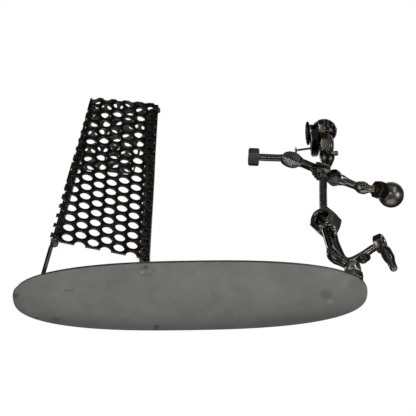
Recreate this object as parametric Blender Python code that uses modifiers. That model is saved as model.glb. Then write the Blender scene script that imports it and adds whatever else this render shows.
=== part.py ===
"""Metal bolt figurine: a thrower built of nuts and rods, with a perforated steel goal, on one oval plate.

Frame: X runs along the plate (the thrower at +X faces -X), Y goes away from the front, Z is up.
The origin is the middle of the plate's underside.  Sizes are in millimetres and scaled once by MM.
"""
import math

import bpy
from mathutils import Matrix, Vector

MM = 0.001
GAP = 0.3                                   # clearance between pieces that touch

# --- base plate ---------------------------------------------------------------------------------------
PLATE_HALF_LENGTH = 131.4
PLATE_HALF_DEPTH = 35.4
PLATE_THICK = 2.0
PLATE_ROUNDNESS = 2.55                      # 2 is an ellipse, more is fuller at the ends
PLATE_STEPS = 56

# --- goal: s runs along the side net from the mouth post, q goes away behind it --------------------------
GOAL_FOOT = (-32.8, -31.4)                  # mouth post on the plate
GOAL_YAW = 16.5                             # degrees, the goal stands askew on the plate
SHEET = 1.5
HOLE = 8.0
PITCH = 11.0
ROD = 6.0
MOUTH_ROD = 8.0
MOUTH_POST = (1.0, 1.0)                     # (s, q) of its middle, just clear of the side net
NET_Q = -(ROD / 2 + GAP + SHEET / 2)        # middle plane of the side net
NET_BOTTOM = 4.6
NET_BOTTOM_S = (-70.6, 3.2)
NET_TOP_S = (-52.8, 4.6)
NET_TOP_LEFT = 183.4
ROOF_SLOPE = 0.19                           # the roof and the net's top edge climb towards the mouth
ROOF_S = (-52.2, 1.1)
ROOF_REACH = 78.0
HOLE_COLUMN_S = -0.5                        # column of holes that runs over the mouth post
HOLE_ROW_Z = 21.6                           # a row of holes in that column
ROOF_HOLE = (-1.0, 5.5)                     # one hole of the roof: (along the slope from s 0, q)
ROOF_SKEW = 1.9                             # degrees, the roof is snipped a little askew to its rows
BACK_POST = ((-66.2, 4.9), (-49.8, 180.5))  # (s, z) of its ends
STRUT_ENDS = ((-67.6, 3.4, 7.6), (-68.6, 36.5, 4.0))  # (s, q, z)
STRUT = 3.2

# --- figure: joints as (x, y, z); nuts as (across flats, height) -------------------------------------------
BAR = 6.0
TO_FRONT = (0, -0.65, -0.76)                # low in front: the way the flats of the head look
M8_NUT = (13.0, 8.0)
BROW_NUT = (13.0, 5.9)
THIN_NUT = (13.0, 7.2)
TALL_NUT = (13.0, 8.8)
LEFT_SHOULDER_NUT = (13.0, 8.0)
RIGHT_SHOULDER_NUT = (10.6, 9.0)
HIP_NUT = (19.6, 14.0)
HEAD_NUT = (19.0, 8.1)
FACE_NUT = (21.0, 6.2)
LEFT_HAND = (51.4, -13.0, 149.1)
LEFT_REACH = (0.99, 0, -0.10)               # from the left hand back up the forearm
LEFT_SHOULDER = (107.2, -10.5, 130.2)
RIGHT_SHOULDER = (116.0, -8.4, 126.0)
RIGHT_HAND = (150.7, -9.0, 108.7)
RIGHT_HAND_AXIS = (0.72, 0.62, 0.31)
HIP = (104.9, -10.5, 69.2)
HIP_AXIS = (-0.51, -0.84, -0.19)            # its open end looks forward and to the goal
STANDING_FOOT = (121.4, -10.8)
BENT_FOOT = (144.9, -8.6, 45.8)
BENT_FOOT_AXIS = (0.87, -0.49, -0.05)
HEAD = (110.6, -10.5, 166.0)
FACE = (102.6, -10.5, 169.6)
BROW = (108.85, -16.4, 181.3)
CAP = (111.6, -10.5, 185.4)
CAP_ACROSS = 22.0
VISOR = (97.8, -10.5, 182.8)
VISOR_ACROSS = 20.0
BALL = 21.4
BALL_REACH = 14.2                           # ball centre from the centre of the hand nut


def clear_scene():
    for thing in list(bpy.data.objects):
        bpy.data.objects.remove(thing, do_unlink=True)


def new_collection(name, hidden=False):
    group = bpy.data.collections.new(name)
    bpy.context.scene.collection.children.link(group)
    group.hide_render = hidden
    return group


def steel(name, colour, roughness):
    mat = bpy.data.materials.new(name)
    mat.use_nodes = True
    shader = mat.node_tree.nodes["Principled BSDF"]
    shader.inputs["Base Color"].default_value = (*colour, 1.0)
    shader.inputs["Metallic"].default_value = 1.0
    shader.inputs["Roughness"].default_value = roughness
    return mat


clear_scene()
PIECES = new_collection("metal_bolt_figurine")
CUTTERS = new_collection("cutters", hidden=True)


def mesh_object(name, mesh, group=PIECES):
    thing = bpy.data.objects.new(name, mesh)
    group.objects.link(thing)
    return thing


def baked(thing, merge=0.0001):
    """The object's evaluated shape as a mesh of its own, doubles merged, placed in the mesh."""
    view = bpy.context.evaluated_depsgraph_get()
    mesh = bpy.data.meshes.new_from_object(thing.evaluated_get(view))
    mesh.transform(thing.matrix_world)
    name = thing.name
    bpy.data.objects.remove(thing, do_unlink=True)
    made = mesh_object(name, mesh)
    bpy.context.view_layer.objects.active = made
    bpy.ops.object.mode_set(mode="EDIT")
    bpy.ops.mesh.select_all(action="SELECT")
    bpy.ops.mesh.remove_doubles(threshold=merge * 0.1)
    bpy.ops.mesh.normals_make_consistent(inside=False)
    bpy.ops.object.mode_set(mode="OBJECT")
    return made


def put(thing, centre, axis=(0, 0, 1), flat=None):
    """Points the mesh's Z along axis, turns one flat of a nut towards flat, and moves it to centre."""
    swing = Vector((0, 0, 1)).rotation_difference(Vector(axis)).to_matrix().to_4x4()
    spin = Matrix()
    if flat:
        look = swing.inverted() @ Vector(flat)
        spin = Matrix.Rotation(math.atan2(look.y, look.x), 4, "Z")
    thing.data.transform(Matrix.Translation(Vector(centre) * MM) @ swing @ spin)
    return thing


def turned(name, profile, steps):
    """A solid turned about Z from (radius, height) points; the first and last lie on the axis."""
    mesh = bpy.data.meshes.new(name)
    points = [(r * MM, 0, z * MM) for r, z in profile]
    mesh.from_pydata(points, [(i, i + 1) for i in range(len(points) - 1)], [])
    thing = mesh_object(name, mesh)
    screw = thing.modifiers.new("turn", "SCREW")
    screw.steps = screw.render_steps = steps
    screw.use_merge_vertices = True
    screw.merge_threshold = 0.00001
    return baked(thing)


def limb(name, stations, resolution=2):
    """A round bar through (x, y, z, diameter) stations, closed at both ends."""
    curve = bpy.data.curves.new(name, "CURVE")
    curve.dimensions = "3D"
    curve.bevel_depth = MM / 2
    curve.bevel_resolution = resolution
    curve.use_fill_caps = True
    spline = curve.splines.new("POLY")
    spline.points.add(len(stations) - 1)
    for point, (x, y, z, wide) in zip(spline.points, stations):
        point.co = (x * MM, y * MM, z * MM, 1)
        point.radius = wide
    return baked(mesh_object(name, curve))


def slab(name, outline, thick):
    """A flat plate of this outline, its middle plane at Z 0."""
    curve = bpy.data.curves.new(name, "CURVE")
    curve.dimensions = "2D"
    curve.fill_mode = "BOTH"
    curve.extrude = thick * MM / 2
    spline = curve.splines.new("POLY")
    spline.points.add(len(outline) - 1)
    for point, (x, y) in zip(spline.points, outline):
        point.co = (x * MM, y * MM, 0, 1)
    spline.use_cyclic_u = True
    return baked(mesh_object(name, curve))


def combine(thing, other, operation):
    """A boolean with the exact solver, applied; the other piece goes to the cutters."""
    step = thing.modifiers.new(operation.lower(), "BOOLEAN")
    step.operation = operation
    step.solver = "EXACT"
    step.object = other
    bpy.context.view_layer.objects.active = thing
    bpy.ops.object.modifier_apply(modifier=step.name)
    for group in list(other.users_collection):
        group.objects.unlink(other)
    CUTTERS.objects.link(other)
    other.hide_render = True
    other.display_type = "WIRE"
    return thing


def hex_nut(name, flats, high, bore=0.0, steps=18):
    """A nut centred at the origin with its axis on Z: six flats, both rims chamfered at 30 degrees."""
    corner = flats / math.sqrt(3)
    drop = (corner * 1.02 - flats * 0.475) * math.tan(math.radians(30))
    half = high / 2
    bpy.ops.mesh.primitive_cylinder_add(vertices=6, radius=corner * MM, depth=high * MM)
    nut = bpy.context.object
    nut.name = name
    for group in list(nut.users_collection):
        group.objects.unlink(nut)
    PIECES.objects.link(nut)
    rim = turned(name + "_rim", [(0, -half), (flats * 0.475, -half), (corner * 1.02, drop - half),
                                 (corner * 1.02, half - drop), (flats * 0.475, half), (0, half)], steps)
    combine(nut, rim, "INTERSECT")
    if bore:
        hole = turned(name + "_bore", [(0, -half - 1), (bore / 2, -half - 1), (bore / 2, half + 1),
                                       (0, half + 1)], 12)
        combine(nut, hole, "DIFFERENCE")
    return nut


def finish(thing, mat):
    thing.data.materials.clear()
    thing.data.materials.append(mat)
    return thing


# === base plate =========================================================================================
DARK = steel("gunmetal", (0.16, 0.155, 0.15), 0.30)
PLATE_STEEL = steel("plate_steel", (0.30, 0.30, 0.28), 0.45)
NET_STEEL = steel("net_steel", (0.11, 0.10, 0.09), 0.40)
ROD_STEEL = steel("rod_steel", (0.15, 0.13, 0.10), 0.35)
BALL_STEEL = steel("ball_steel", (0.20, 0.19, 0.18), 0.18)


def oval(half_x, half_y, power, steps):
    """Points of a superellipse, which is a little fuller at its ends than an ellipse."""
    points = []
    for i in range(steps):
        turn = 2 * math.pi * i / steps
        c, s = math.cos(turn), math.sin(turn)
        points.append((math.copysign(half_x * abs(c) ** (2 / power), c),
                       math.copysign(half_y * abs(s) ** (2 / power), s)))
    return points


plate_outline = oval(PLATE_HALF_LENGTH, PLATE_HALF_DEPTH, PLATE_ROUNDNESS, PLATE_STEPS)
plate = slab("base_plate", plate_outline, PLATE_THICK)
finish(put(plate, (0, 0, PLATE_THICK / 2)), PLATE_STEEL)

# === goal ===============================================================================================
TO_PLATE = (Matrix.Translation(Vector((*GOAL_FOOT, 0)) * MM)
            @ Matrix.Rotation(math.radians(GOAL_YAW), 4, "Z"))
COLUMN = PITCH * math.sqrt(3) / 2


def punch(name, centres, sides=7):
    """One cutter for all the round holes, standing along Z."""
    parts = []
    for x, y in centres:
        bpy.ops.mesh.primitive_cylinder_add(vertices=sides, radius=HOLE / 2 * MM, depth=(SHEET + 2) * MM,
                                            location=(x * MM, y * MM, 0))
        parts.append(bpy.context.object)
    bpy.ops.object.select_all(action="DESELECT")
    for part in parts:
        part.select_set(True)
    bpy.context.view_layer.objects.active = parts[0]
    bpy.ops.object.join()
    cutter = bpy.context.object
    cutter.name = name
    bpy.ops.object.transform_apply(location=True, rotation=True, scale=True)
    return cutter


def bites(x, y, outline):
    """True when a hole at x, y lies in the outline or takes a fair bite out of its edge."""
    depth = []
    for (ax, ay), (bx, by) in zip(outline, outline[1:] + outline[:1]):
        depth.append(((bx - ax) * (y - ay) - (by - ay) * (x - ax)) / math.hypot(bx - ax, by - ay))
    return min(depth) > 0.6 - HOLE / 2


def net_top(s):
    return NET_TOP_LEFT + (s - NET_TOP_S[0]) * ROOF_SLOPE


# side net: drawn flat as (s, z), then stood up
net_outline = [(NET_BOTTOM_S[0], NET_BOTTOM), (NET_BOTTOM_S[1], NET_BOTTOM),
               (NET_TOP_S[1], net_top(NET_TOP_S[1])), (NET_TOP_S[0], net_top(NET_TOP_S[0]))]
net_holes = []
for column in range(-8, 2):
    for row in range(-4, 34):
        s = HOLE_COLUMN_S + column * COLUMN
        z = HOLE_ROW_Z + row * PITCH / 2
        if (column + row) % 2 == 0 and bites(s, z, net_outline):
            net_holes.append((s, z))
side_net = slab("side_net", net_outline, SHEET)
combine(side_net, punch("side_net_holes", net_holes), "DIFFERENCE")
STAND_UP = Matrix.Translation((0, NET_Q * MM, 0)) @ Matrix.Rotation(math.radians(90), 4, "X")
side_net.data.transform(TO_PLATE @ STAND_UP)
finish(side_net, NET_STEEL)

# roof net: drawn flat as (along the slope, q), then tilted and set on the net's top edge
tilt = math.atan(ROOF_SLOPE)
roof_right = (ROOF_S[1] - ROOF_S[0]) / math.cos(tilt)
roof_outline = [(0.0, -SHEET / 2), (roof_right, -SHEET / 2), (roof_right, ROOF_REACH), (0.0, ROOF_REACH)]
skew = math.radians(ROOF_SKEW)
roof_holes = []
for row in range(-1, 9):
    for step in range(-8, 3):
        run = ROOF_HOLE[0] + (step + (row % 2) / 2) * PITCH
        away = ROOF_HOLE[1] + row * COLUMN
        along_slope = run * math.cos(skew) + away * math.sin(skew) - ROOF_S[0] / math.cos(tilt)
        q = away * math.cos(skew) - run * math.sin(skew)
        if bites(along_slope, q, roof_outline):
            roof_holes.append((along_slope, q))
roof_net = slab("roof_net", roof_outline, SHEET)
combine(roof_net, punch("roof_net_holes", roof_holes), "DIFFERENCE")
roof_low = net_top(ROOF_S[0]) + (GAP + SHEET / 2) / math.cos(tilt)
ROOF_PLACE = (Matrix.Translation((ROOF_S[0] * MM, NET_Q * MM, roof_low * MM))
              @ Matrix.Rotation(-tilt, 4, "Y"))
roof_net.data.transform(TO_PLATE @ ROOF_PLACE)
finish(roof_net, NET_STEEL)

# rods of the goal
post_top = net_top(0) - 1.5
post_s, post_q = MOUTH_POST
mouth_post = limb("mouth_post", [(post_s, post_q, PLATE_THICK + GAP, MOUTH_ROD + 2.0),
                                 (post_s, post_q, PLATE_THICK + 1.2, MOUTH_ROD + 1.0),
                                 (post_s, post_q, PLATE_THICK + 2.1, MOUTH_ROD),
                                 (post_s, post_q, post_top - 2.0, MOUTH_ROD),
                                 (post_s, post_q, post_top - 0.6, MOUTH_ROD * 0.8),
                                 (post_s, post_q, post_top, MOUTH_ROD * 0.4)], 3)
mouth_post.data.transform(TO_PLATE)
finish(mouth_post, ROD_STEEL)

(low_s, low_z), (high_s, high_z) = BACK_POST
back_post = limb("back_post", [(low_s, 0, low_z, ROD - 1), (low_s + 0.05, 0, low_z + 0.5, ROD),
                               (high_s, 0, high_z, ROD)], 3)
back_post.data.transform(TO_PLATE)
finish(back_post, ROD_STEEL)

back_strut = limb("back_strut", [(*STRUT_ENDS[0], STRUT), (*STRUT_ENDS[1], STRUT)], 1)
back_strut.data.transform(TO_PLATE)
finish(back_strut, ROD_STEEL)

# === figure =============================================================================================
ROOM = {}                                   # a plain hexagon round each nut, the gap larger all round


def nut(name, size, centre, axis, flat, bore=0.0):
    """A nut in its place, and the room that its neighbours leave it."""
    flats, high = size
    made = put(hex_nut(name, flats, high, bore), centre, axis, flat)
    bpy.ops.mesh.primitive_cylinder_add(vertices=6, radius=(flats / 2 + GAP) / math.cos(math.pi / 6) * MM,
                                        depth=(high + 2 * GAP) * MM)
    ROOM[name] = put(bpy.context.object, centre, axis, flat).data
    bpy.data.objects.remove(bpy.context.object, do_unlink=True)
    return made


def fit_round(thing, *others):
    """Trims a piece back from its neighbours, leaving the gap all round."""
    for other in others:
        if other.name in ROOM:
            shell = mesh_object(thing.name + "_clear_of_" + other.name, ROOM[other.name].copy())
        else:
            shell = mesh_object(thing.name + "_clear_of_" + other.name, other.data.copy())
            grow = shell.modifiers.new("grow", "DISPLACE")
            grow.strength = GAP * MM
            grow.mid_level = 0.0
            shell = baked(shell)
        combine(thing, shell, "DIFFERENCE")
    return thing


def ball(name, centre, across, segments=10, rings=6, stretch=(1, 1, 1)):
    bpy.ops.mesh.primitive_uv_sphere_add(segments=segments, ring_count=rings, radius=across / 2 * MM)
    made = bpy.context.object
    made.name = name
    for group in list(made.users_collection):
        group.objects.unlink(made)
    PIECES.objects.link(made)
    made.data.transform(Matrix.Translation(Vector(centre) * MM) @ Matrix.Diagonal((*stretch, 1)))
    return made


def along(start, axis, reach):
    return tuple(a + reach * b for a, b in zip(start, Vector(axis).normalized()))


# shoulders, hips and spine
left_shoulder = nut("left_shoulder_nut", LEFT_SHOULDER_NUT, LEFT_SHOULDER, (0, 0, 1), (0.3, -0.954, 0))
right_shoulder = nut("right_shoulder_nut", RIGHT_SHOULDER_NUT, RIGHT_SHOULDER, (0, 0, 1), (-0.26, -0.966, 0))
fit_round(right_shoulder, left_shoulder)
hip = nut("hip_nut", HIP_NUT, HIP, HIP_AXIS, (0, 0, 1), 10.6)
spine = limb("spine", [(103.8, -10.5, 76.0, 6.5), (104.3, -10.5, 85.0, 6.5), (106.8, -10.5, 127.0, 6.5)], 3)
fit_round(spine, hip, left_shoulder, right_shoulder)

# head
head_nut = nut("head_nut", HEAD_NUT, HEAD, (1, 0, 0), TO_FRONT, 10.0)
face_nut = nut("face_nut", FACE_NUT, FACE, (1, 0, 0), (0, -0.35, -0.94), 12.0)
brow_nut = nut("brow_nut", BROW_NUT, BROW, (1, 0, 0), TO_FRONT, 6.8)
head_back = put(turned("head_back", [(0, 0), (9.0, 0), (8.4, 1.6), (5.2, 3.2), (0, 3.7)], 16),
                along(HEAD, (1, 0, 0), HEAD_NUT[1] / 2 + GAP), (1, 0, 0))
cap_dome = ball("cap_dome", CAP, CAP_ACROSS, 14, 9, (1, 1, 0.89))
fit_round(cap_dome, brow_nut, head_nut, face_nut)
visor_rim = VISOR_ACROSS / 2
visor_disc = turned("visor_disc", [(0, -0.5), (visor_rim - 0.4, -0.5), (visor_rim, 0), (visor_rim - 0.4, 0.5),
                                   (0, 0.5)], 20)
put(visor_disc, VISOR, (0.993, 0.05, 0.10))
visor_strip = slab("visor_strip", [(96.6, 5.0), (104.6, 5.6), (104.6, -0.6), (96.6, 0.0)], 2.2)
visor_strip.data.transform(Matrix.Translation(Vector((0, -14.0, 190.0)) * MM))
fit_round(visor_strip, cap_dome, visor_disc, brow_nut)
mouth_nail = limb("mouth_nail", [(86.2, -11.5, 158.8, 5.6), (86.9, -11.5, 158.8, 5.6),
                                 (86.95, -11.5, 158.8, 1.8), (99.2, -11.5, 161.1, 1.8)], 2)
neck = limb("neck", [(108.9, -11.5, 133.0, 6.6), (109.5, -11.3, 139.0, 7.2), (110.1, -11.0, 145.2, 8.4),
                     (110.6, -11.0, 149.8, 9.6), (111.0, -11.0, 155.1, 9.4), (111.6, -11.0, 158.8, 8.2)], 3)
combine(neck, ball("neck_lump", (114.4, -10.8, 150.2), 7.4), "UNION")
fit_round(neck, head_nut, head_back, left_shoulder, right_shoulder, spine)
ear_stub = limb("ear_stub", [(116.0, -10.5, 154.3, 4.4), (120.4, -10.5, 155.3, 4.4),
                             (121.2, -10.5, 155.5, 2.8)], 2)
fit_round(ear_stub, neck, head_nut)

# left arm, stretched forward
left_hand = nut("left_hand_nut", TALL_NUT, LEFT_HAND, LEFT_REACH, (0, -1, 0))
left_arm = limb("left_arm", [(*along(LEFT_HAND, LEFT_REACH, TALL_NUT[1] / 2 + GAP), BAR),
                             (74.5, -13.0, 147.0, BAR), (76.4, -13.0, 146.5, 9.0),
                             (79.5, -13.0, 145.5, 12.0), (83.5, -13.0, 143.8, 13.0),
                             (87.5, -13.0, 141.9, 11.4), (90.2, -13.0, 140.2, 8.6),
                             (92.8, -13.1, 138.6, 7.0), (103.0, -13.5, 130.6, 7.0)], 3)
fit_round(left_arm, left_shoulder)

# right arm, drawn back with the ball
right_hand = nut("right_hand_nut", M8_NUT, RIGHT_HAND, RIGHT_HAND_AXIS, (0, -0.4, -0.9))
right_arm = limb("right_arm", [(118.6, -9.8, 121.6, 9.8), (121.0, -9.7, 121.4, 9.6),
                               (125.6, -9.3, 119.0, 7.0), (132.0, -9.0, 114.8, BAR),
                               (134.4, -9.0, 113.3, 9.2), (137.6, -9.0, 112.0, 10.6),
                               (141.0, -9.2, 110.6, 8.4), (143.4, -9.8, 109.4, BAR),
                               (149.0, -11.0, 107.6, BAR)], 3)
fit_round(right_arm, right_shoulder, right_hand)
held_ball = ball("ball", along(RIGHT_HAND, RIGHT_HAND_AXIS, BALL_REACH), BALL, 16, 9)
fit_round(held_ball, right_hand)

# legs
foot_x, foot_y = STANDING_FOOT
dome = turned("dome", [(0, 0)] + [(6.15, 0)] + [(6.15 * math.cos(a), 14.4 + 6.15 * math.sin(a))
                                               for a in (0, 0.5, 1.0)] + [(0, 20.55)], 12)
standing_foot = hex_nut("standing_foot", M8_NUT[0], 6.8)
standing_foot.data.transform(Matrix.Translation((0, 0, 3.4 * MM)))
combine(standing_foot, dome, "UNION")
put(standing_foot, (foot_x, foot_y, PLATE_THICK + GAP), (0, 0, 1), (1, 0, 0))
standing_leg = limb("standing_leg", [(103.5, -13.0, 58.7, BAR), (105.5, -13.0, 42.8, BAR),
                                     (106.3, -13.0, 36.3, BAR), (106.6, -13.0, 33.7, 8.0),
                                     (107.6, -13.0, 28.9, 9.4), (109.8, -13.0, 24.8, 8.8),
                                     (113.0, -12.8, 21.8, 7.0), (116.0, -12.2, 19.7, BAR),
                                     (119.6, -11.4, 17.6, BAR)], 3)
bent_leg = limb("bent_leg", [(110.3, -7.4, 61.8, BAR), (111.2, -7.4, 48.6, BAR), (112.6, -7.4, 41.3, BAR),
                             (114.4, -7.4, 33.8, BAR), (115.8, -7.4, 29.9, 6.4), (118.2, -7.4, 27.5, 6.6),
                             (121.5, -7.4, 28.2, 6.2), (127.8, -7.6, 32.2, BAR), (141.0, -8.0, 43.0, BAR)], 3)
combine(bent_leg, ball("calf", (130.7, -10.0, 27.6), 7.4), "UNION")
bent_foot = nut("bent_foot_nut", THIN_NUT, BENT_FOOT, BENT_FOOT_AXIS, TO_FRONT)
fit_round(standing_leg, hip, standing_foot)
fit_round(bent_leg, hip, standing_foot, standing_leg, bent_foot)
toe_pin = limb("toe_pin", [(147.6, -9.0, 39.7, 7.6), (148.8, -9.0, 33.3, 9.2), (150.2, -9.0, 28.0, 8.6),
                           (150.9, -9.0, 24.6, 6.8), (151.6, -9.0, 20.8, 6.2), (152.2, -9.0, 17.5, 5.8),
                           (152.4, -9.0, 15.8, 4.6)], 3)
fit_round(toe_pin, bent_foot)

for piece in (left_shoulder, right_shoulder, hip, spine, head_nut, face_nut, brow_nut, head_back,
              cap_dome, visor_disc, visor_strip, mouth_nail, neck, ear_stub, left_hand, left_arm, right_hand,
              right_arm, standing_foot, standing_leg, bent_leg, bent_foot, toe_pin):
    finish(piece, DARK)
finish(held_ball, BALL_STEEL)
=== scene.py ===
import math
import random

import bpy
from mathutils import Matrix, Vector


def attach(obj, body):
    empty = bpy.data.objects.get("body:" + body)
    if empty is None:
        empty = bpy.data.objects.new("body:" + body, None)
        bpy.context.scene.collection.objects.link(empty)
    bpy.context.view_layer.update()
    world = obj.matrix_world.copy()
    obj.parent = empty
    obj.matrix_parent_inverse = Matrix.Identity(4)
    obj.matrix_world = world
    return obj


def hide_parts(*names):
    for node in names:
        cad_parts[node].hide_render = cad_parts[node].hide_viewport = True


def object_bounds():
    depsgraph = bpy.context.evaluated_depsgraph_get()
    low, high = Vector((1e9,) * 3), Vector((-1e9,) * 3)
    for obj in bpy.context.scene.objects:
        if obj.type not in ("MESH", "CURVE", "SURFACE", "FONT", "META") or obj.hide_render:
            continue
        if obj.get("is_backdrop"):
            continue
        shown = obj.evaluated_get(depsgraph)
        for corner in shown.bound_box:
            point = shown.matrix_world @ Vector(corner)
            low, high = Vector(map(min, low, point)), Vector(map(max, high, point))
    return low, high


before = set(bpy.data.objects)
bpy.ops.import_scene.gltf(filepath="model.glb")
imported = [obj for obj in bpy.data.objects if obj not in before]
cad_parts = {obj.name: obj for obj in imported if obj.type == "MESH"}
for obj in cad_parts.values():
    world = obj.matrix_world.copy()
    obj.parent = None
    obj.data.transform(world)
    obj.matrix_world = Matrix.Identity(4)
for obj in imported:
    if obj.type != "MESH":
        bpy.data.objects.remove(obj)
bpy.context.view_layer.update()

# --- Base plate ----------------------------------------------------------------------------------------
# An oval of 2 mm rolled steel sheet with its sheared rim broken by a file, bare under clear lacquer.
# Goal and thrower are welded on top of it, and the heat of each weld shows through to the underside.
mm = 0.001
plate_half_length, plate_half_depth, plate_thick, plate_fullness = 131.4, 35.4, 2.0, 2.55


def pick(*pieces):
    """Selects only these pieces, the first of them active, or with none named clears the selection."""
    if bpy.context.object and bpy.context.object.mode != "OBJECT":
        bpy.ops.object.mode_set(mode="OBJECT")
    bpy.ops.object.select_all(action="DESELECT")
    for piece in pieces:
        piece.select_set(True)
    if pieces:
        bpy.context.view_layer.objects.active = pieces[0]


def settle(piece, name, axis=None, centre=(0, 0, 0), flat=None):
    """Names a piece made about the origin and puts it in place: Z along axis, a flat towards flat."""
    piece.name = piece.data.name = name
    if axis is not None:
        swing = Vector((0, 0, 1)).rotation_difference(Vector(axis)).to_matrix().to_4x4()
        spin = Matrix()
        if flat is not None:
            look = swing.inverted() @ Vector(flat)
            spin = Matrix.Rotation(math.atan2(look.y, look.x), 4, "Z")
        piece.data.transform(Matrix.Translation(Vector(centre) * mm) @ swing @ spin)
    return piece


def apply_all(piece):
    pick(piece)
    for step in list(piece.modifiers):
        bpy.ops.object.modifier_apply(modifier=step.name)


def round_edges(piece, width, segments, angle, clamp=True):
    """Rounds the edges where a piece turns by more than this angle in degrees; width in mm."""
    edge = piece.modifiers.new("rounded edges", "BEVEL")
    edge.width, edge.segments = width * mm, segments
    edge.limit_method, edge.angle_limit = "ANGLE", math.radians(angle)
    edge.use_clamp_overlap = clamp


def smooth(piece, angle):
    pick(piece)
    bpy.ops.object.shade_smooth_by_angle(angle=math.radians(angle))


def weathered_steel(name, dark, light, rough, tint=(0.16, 0.10, 0.06), tinted=0.3, mottle=70.0, grain=None,
                    bump=0.00004, stains_and_painted_light=(), lacquer=0.0, tint_spots=()):
    """Lacquered steel: cloudy between dark and light, brown heat tints, fine scratches, and round marks:
    stains on some pieces, painted shade and painted highlights on others.
    A mark is (x, y, z, radius, colour, strength) in mm; a tint spot is (x, y, z, radius, strength)."""
    mat = bpy.data.materials.new(name)
    mat.use_nodes = True
    tree = mat.node_tree
    shader = tree.nodes["Principled BSDF"]
    shader.inputs["Metallic"].default_value = 1.0
    shader.inputs["Coat Weight"].default_value = lacquer
    shader.inputs["Coat Roughness"].default_value = 0.12

    def node(kind, **settings):
        made = tree.nodes.new(kind)
        for key, value in settings.items():
            if key in made.inputs:
                made.inputs[key].default_value = value
            else:
                setattr(made, key.lower().replace(" ", "_"), value)
        return made

    def link(a, b):
        tree.links.new(a, b)

    place = node("ShaderNodeTexCoord").outputs["Object"]
    cloud = node("ShaderNodeTexNoise", Scale=mottle, Detail=6.0, Roughness=0.6)
    link(place, cloud.inputs["Vector"])
    spread = node("ShaderNodeMapRange", **{"From Min": 0.32, "From Max": 0.68})
    link(cloud.outputs["Fac"], spread.inputs["Value"])
    colour = node("ShaderNodeMix", data_type="RGBA")
    colour.inputs[6].default_value, colour.inputs[7].default_value = (*dark, 1), (*light, 1)
    link(spread.outputs["Result"], colour.inputs["Factor"])
    out = colour.outputs[2]

    def lay_on(base, mask, paint, strength):
        fade = node("ShaderNodeMath", operation="MULTIPLY")
        fade.inputs[1].default_value = strength
        link(mask, fade.inputs[0])
        blend = node("ShaderNodeMix", data_type="RGBA")
        blend.inputs[7].default_value = (*paint, 1)
        link(fade.outputs[0], blend.inputs["Factor"])
        link(base, blend.inputs[6])
        return blend.outputs[2]

    stain = node("ShaderNodeTexNoise", Scale=mottle * 1.7, Detail=3.0, Roughness=0.5, Distortion=0.4)
    link(place, stain.inputs["Vector"])
    patch = node("ShaderNodeMapRange", **{"From Min": 0.52, "From Max": 0.70})
    link(stain.outputs["Fac"], patch.inputs["Value"])
    out = lay_on(out, patch.outputs["Result"], tint, tinted)

    raggedness = 3 * mm
    ragged = node("ShaderNodeTexNoise", Scale=260.0, Detail=3.0)
    link(place, ragged.inputs["Vector"])
    shift = node("ShaderNodeVectorMath", operation="MULTIPLY_ADD")
    link(ragged.outputs["Color"], shift.inputs[0])
    shift.inputs[1].default_value = (raggedness,) * 3
    link(place, shift.inputs[2])

    def round_mark(x, y, z, radius):
        reach = node("ShaderNodeVectorMath", operation="DISTANCE")
        link(shift.outputs[0], reach.inputs[0])
        reach.inputs[1].default_value = [at * mm + raggedness / 2 for at in (x, y, z)]
        mask = node("ShaderNodeMapRange", interpolation_type="SMOOTHSTEP",
                    **{"From Min": radius * mm, "From Max": radius * mm * 0.25})
        link(reach.outputs["Value"], mask.inputs["Value"])
        return mask.outputs["Result"]

    for x, y, z, radius, strength in tint_spots:
        out = lay_on(out, round_mark(x, y, z, radius), tint, strength)
    # These round marks are stains on some pieces and painted shade or painted highlights on others.
    for x, y, z, radius, paint, strength in stains_and_painted_light:
        out = lay_on(out, round_mark(x, y, z, radius), paint, strength)
    link(out, shader.inputs["Base Color"])

    scuff = node("ShaderNodeTexNoise", Scale=mottle * 3.1, Detail=5.0, Roughness=0.7)
    link(place, scuff.inputs["Vector"])
    gloss = node(
        "ShaderNodeMapRange", **{"From Min": 0.3, "From Max": 0.7, "To Min": rough[0], "To Max": rough[1]})
    link(scuff.outputs["Fac"], gloss.inputs["Value"])
    link(gloss.outputs["Result"], shader.inputs["Roughness"])

    lie = node("ShaderNodeMapping")
    lie.inputs["Scale"].default_value = grain or (1, 1, 1)
    link(place, lie.inputs["Vector"])
    fine = node("ShaderNodeTexNoise", Scale=420.0 if grain is None else 700.0, Detail=3.0, Roughness=0.5)
    link(lie.outputs[0], fine.inputs["Vector"])
    relief = node("ShaderNodeBump", Distance=bump, Strength=1.0)
    link(fine.outputs["Fac"], relief.inputs["Height"])
    link(relief.outputs["Normal"], shader.inputs["Normal"])
    return mat


pick()
bpy.ops.mesh.primitive_circle_add(vertices=192, radius=1, fill_type="NGON")
plate = bpy.context.object
for vertex in plate.data.vertices:
    turn = math.atan2(vertex.co.y, vertex.co.x)
    c, s = math.cos(turn), math.sin(turn)
    vertex.co = (math.copysign(abs(c) ** (2 / plate_fullness), c) * plate_half_length * mm,
                 math.copysign(abs(s) ** (2 / plate_fullness), s) * plate_half_depth * mm, 0)
bpy.ops.object.mode_set(mode="EDIT")
bpy.ops.mesh.select_all(action="SELECT")
bpy.ops.mesh.extrude_region_move(TRANSFORM_OT_translate={"value": (0, 0, plate_thick * mm)})
bpy.ops.mesh.select_all(action="SELECT")
bpy.ops.mesh.normals_make_consistent(inside=False)
bpy.ops.object.mode_set(mode="OBJECT")
round_edges(plate, 0.35, 3, 60)
apply_all(plate)
smooth(plate, 40)
settle(plate, "base_plate_sheet")
soot, rust, bare = (0.03, 0.028, 0.025), (0.20, 0.11, 0.05), (0.62, 0.61, 0.58)
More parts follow.
